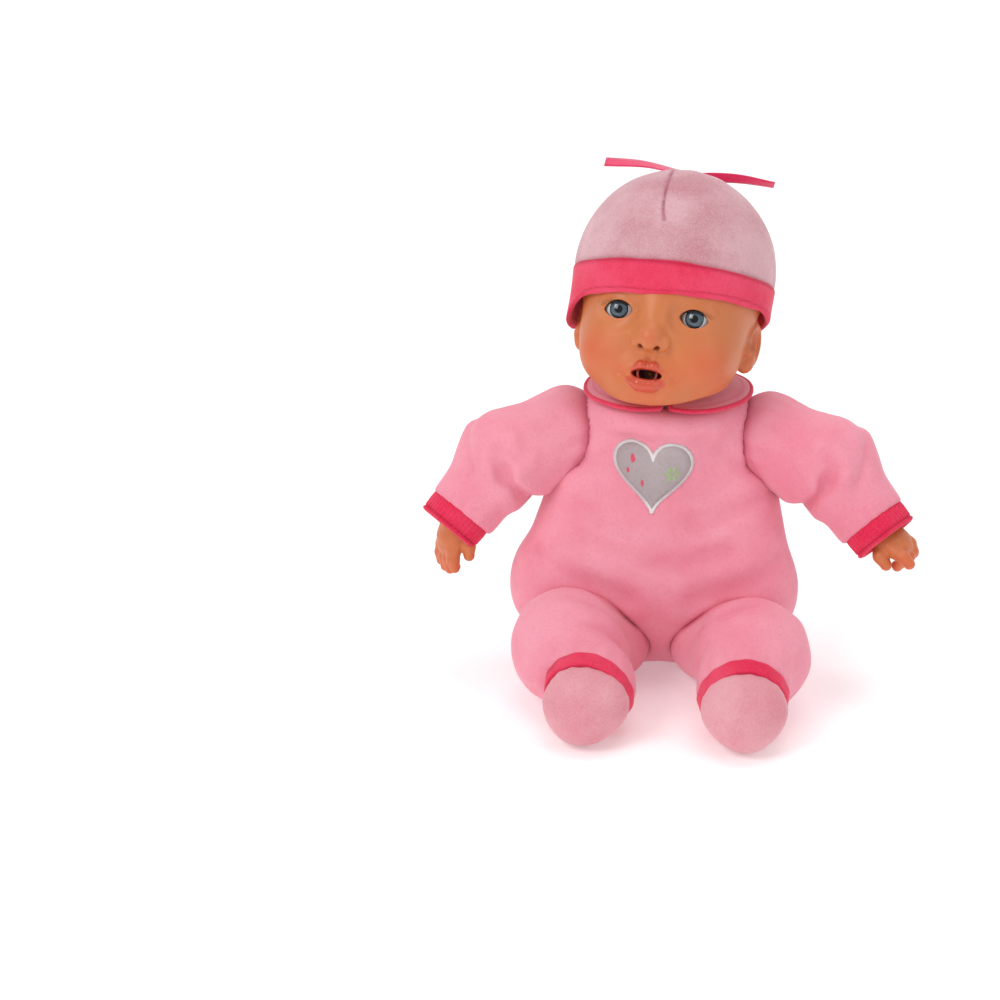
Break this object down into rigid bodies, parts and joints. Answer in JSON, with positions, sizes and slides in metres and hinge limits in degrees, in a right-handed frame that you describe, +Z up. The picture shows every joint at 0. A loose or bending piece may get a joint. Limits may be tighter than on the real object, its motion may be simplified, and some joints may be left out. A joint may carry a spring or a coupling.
{
  "type": "interactive baby doll",
  "caption": "Sitting baby doll with a stuffed suit, turning vinyl head and hands, sleeping eyes, a mouth that senses a bottle, a lift-off cap and a talking module behind a back door.",
  "frame": {"origin": "middle of the seat, on the plane that the doll sits on", "axes": "+Z up, the doll faces -Y, its left side is +X"},
  "size_m": [0.2689, 0.1924, 0.2786],
  "materials": {
    "suit": "plush velour",
    "suit_light": "brushed velour",
    "trim": "knitted rib",
    "ribbon": "satin",
    "patch": "felt",
    "stuffing": "polyester fibre",
    "skin": "matt vinyl",
    "lips": "glossy vinyl",
    "eye": "polished",
    "lid": "painted",
    "case": "fine texture",
    "dark_plastic": "matt",
    "button": "polished",
    "tie": "nylon",
    "board": "solder mask",
    "steel": "zinc plated",
    "weight": "cast",
    "battery": "printed sleeve",
    "speaker": "satin",
    "lead": "insulated wire",
    "brass": "turned"
  },
  "bodies": {
    "torso": {"romper_torso": "suit", "torso_filling": "stuffing", "left_collar": "suit_light", "right_collar": "suit_light", "left_collar_piping": "ribbon", "right_collar_piping": "ribbon", "chest_patch": "patch", "case_front": "case", "case_back": "case", "circuit_board": "board", "speaker": "speaker", "batteries": "battery", "battery_contacts": "steel", "case_screws": "steel", "sensor_lead": "lead", "belly_button_spring": "steel"},
    "belly_button": {"belly_button": "button"},
    "battery_door": {"battery_door": "case", "battery_door_screw": "steel"},
    "power_switch": {"power_switch_knob": "dark_plastic"},
    "neck": {"neck_casing": "suit", "neck_tie": "tie"},
    "head": {"head_shell": "skin", "neck_plug": "tie", "left_eye_case": "tie", "right_eye_case": "tie", "mouth_tube": "lips", "mouth_switch": "dark_plastic", "mouth_spring": "steel"},
    "mouth_plunger": {"mouth_plunger": "brass"},
    "cap": {"cap_crown": "suit_light", "cap_band": "trim", "cap_bow": "ribbon"},
    "left_eye": {"left_eyeball": "eye", "left_eyelid": "lid", "left_eye_weight": "weight"},
    "left_arm": {"left_sleeve": "suit", "left_cuff": "trim", "left_arm_filling": "stuffing", "left_wrist_tie": "tie"},
    "left_hand": {"left_hand": "skin"},
    "left_leg": {"left_leg_cover": "suit", "left_leg_filling": "stuffing", "left_foot_trim": "trim", "left_foot": "suit_light"},
    "right_eye": {"right_eyeball": "eye", "right_eyelid": "lid", "right_eye_weight": "weight"},
    "right_arm": {"right_sleeve": "suit", "right_cuff": "trim", "right_arm_filling": "stuffing", "right_wrist_tie": "tie"},
    "right_hand": {"right_hand": "skin"},
    "right_leg": {"right_leg_cover": "suit", "right_leg_filling": "stuffing", "right_foot_trim": "trim", "right_foot": "suit_light"}
  },
  "joints": [
    {"name": "head_nod", "type": "hinge", "parent": "torso", "child": "neck", "pos_m": [0, 0, 0.156], "axis": [1, 0, 0], "range_deg": [-13, 4]},
    {"name": "head_turn", "type": "hinge", "parent": "neck", "child": "head", "pos_m": [0, 0, 0.156], "axis": [0, 0, 1], "range_deg": [-45, 45]},
    {"name": "left_eye_close", "type": "hinge", "parent": "head", "child": "left_eye", "pos_m": [0.01493, -0.03951, 0.21004], "axis": [0.9879, -0.1388, -0.0698], "range_deg": [0, 55]},
    {"name": "right_eye_close", "type": "hinge", "parent": "head", "child": "right_eye", "pos_m": [-0.02458, -0.03395, 0.21283], "axis": [0.9879, -0.1388, -0.0698], "range_deg": [0, 55]},
    {"name": "mouth_press", "type": "slide", "parent": "head", "child": "mouth_plunger", "axis": [0.111, 0.9448, -0.3083], "range_m": [0, 0.002], "stiffness_N_per_m": 250, "springref_m": -0.001, "deforming": ["mouth_spring"]},
    {"name": "cap_lift", "type": "slide", "parent": "head", "child": "cap", "axis": [0.1087, 0.2968, 0.9487], "range_m": [0, 0.095]},
    {"name": "left_arm_lift", "type": "hinge", "parent": "torso", "child": "left_arm", "pos_m": [0.056, 0.002, 0.133], "axis": [0, -1, 0], "range_deg": [-9, 52]},
    {"name": "left_hand_turn", "type": "hinge", "parent": "left_arm", "child": "left_hand", "pos_m": [0.10981, -0.024, 0.09977], "axis": [0.6343, -0.3586, -0.6849], "range_deg": [-50, 50]},
    {"name": "right_arm_lift", "type": "hinge", "parent": "torso", "child": "right_arm", "pos_m": [-0.056, 0.002, 0.133], "axis": [0, 1, 0], "range_deg": [-6, 55]},
    {"name": "right_hand_turn", "type": "hinge", "parent": "right_arm", "child": "right_hand", "pos_m": [-0.108, -0.024, 0.097], "axis": [-0.5976, -0.3586, -0.7171], "range_deg": [-50, 50]},
    {"name": "left_leg_fold", "type": "hinge", "parent": "torso", "child": "left_leg", "pos_m": [0, -0.03, 0.022], "axis": [1, 0, 0], "range_deg": [0, 85]},
    {"name": "right_leg_fold", "type": "hinge", "parent": "torso", "child": "right_leg", "pos_m": [0, -0.03, 0.022], "axis": [1, 0, 0], "range_deg": [0, 85]},
    {"name": "belly_press", "type": "slide", "parent": "torso", "child": "belly_button", "axis": [0, 1, 0], "range_m": [0, 0.0025], "stiffness_N_per_m": 400, "springref_m": -0.001, "deforming": ["belly_button_spring"]},
    {"name": "battery_door_lift", "type": "slide", "parent": "torso", "child": "battery_door", "axis": [0, 1, 0], "range_m": [0, 0.025]},
    {"name": "power_switch_slide", "type": "slide", "parent": "torso", "child": "power_switch", "axis": [1, 0, 0], "range_m": [0, 0.005]}
  ]
}
